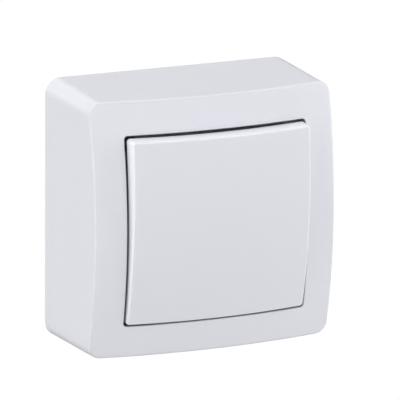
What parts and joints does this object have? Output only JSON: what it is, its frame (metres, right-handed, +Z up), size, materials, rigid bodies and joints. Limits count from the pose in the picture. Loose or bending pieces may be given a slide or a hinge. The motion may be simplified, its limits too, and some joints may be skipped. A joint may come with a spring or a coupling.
{
  "type": "surface mounted light switch",
  "caption": "Square surface mounted light switch with a crowned cover, one large rocker plate and the rocking contact mechanism inside.",
  "frame": {"origin": "middle of the back of the switch, on the wall plane", "axes": "+Y into the wall, -Y out of the front, +Z up, +X to the right seen from the front"},
  "size_m": [0.076, 0.0412, 0.076],
  "materials": {
    "white_moulding": "smooth white moulding, satin gloss",
    "base_moulding": "white moulding, fine matte grain",
    "mechanism_moulding": "light grey heat resistant moulding",
    "cradle_moulding": "cream low friction moulding",
    "brass": "stamped, rolled surface",
    "plated_steel": "zinc plated",
    "spring_steel": "drawn wire",
    "silver": "smooth contact metal"
  },
  "bodies": {
    "switch_base": {"cover": "white_moulding", "wall_base": "base_moulding", "mechanism_housing": "mechanism_moulding", "mechanism_cover": "mechanism_moulding", "common_terminal": "brass", "upper_contact_plate": "brass", "lower_contact_plate": "brass", "cover_screws": "plated_steel", "mechanism_screws": "plated_steel", "common_clamp": "plated_steel", "upper_clamp": "plated_steel", "lower_clamp": "plated_steel", "common_clamp_screw": "plated_steel", "upper_clamp_screw": "plated_steel", "lower_clamp_screw": "plated_steel", "upper_fixed_tip": "silver", "lower_fixed_tip": "silver"},
    "rocker_unit": {"rocker": "white_moulding", "cradle": "cradle_moulding", "plunger_spring": "spring_steel"},
    "plunger_unit": {"plunger": "cradle_moulding"},
    "lever_unit": {"contact_lever": "brass", "upper_moving_tip": "silver", "lower_moving_tip": "silver"}
  },
  "joints": [
    {"name": "rocker_tilt", "type": "hinge", "parent": "switch_base", "child": "rocker_unit", "pos_m": [0, -0.0344, 0], "axis": [-1, 0, 0], "range_deg": [0, 8]},
    {"name": "plunger_slide", "type": "slide", "parent": "rocker_unit", "child": "plunger_unit", "axis": [0, -0.9976, -0.0698], "range_m": [0, 0.0006], "stiffness_N_per_m": 600, "springref_m": -0.003, "deforming": ["plunger_spring"]},
    {"name": "lever_tilt", "type": "hinge", "parent": "switch_base", "child": "lever_unit", "pos_m": [0, -0.014, 0], "axis": [1, 0, 0], "range_deg": [0, 12]}
  ],
  "couplings": [
    {"joint": "lever_tilt", "follows": "rocker_tilt", "ratio": 1.5}
  ]
}
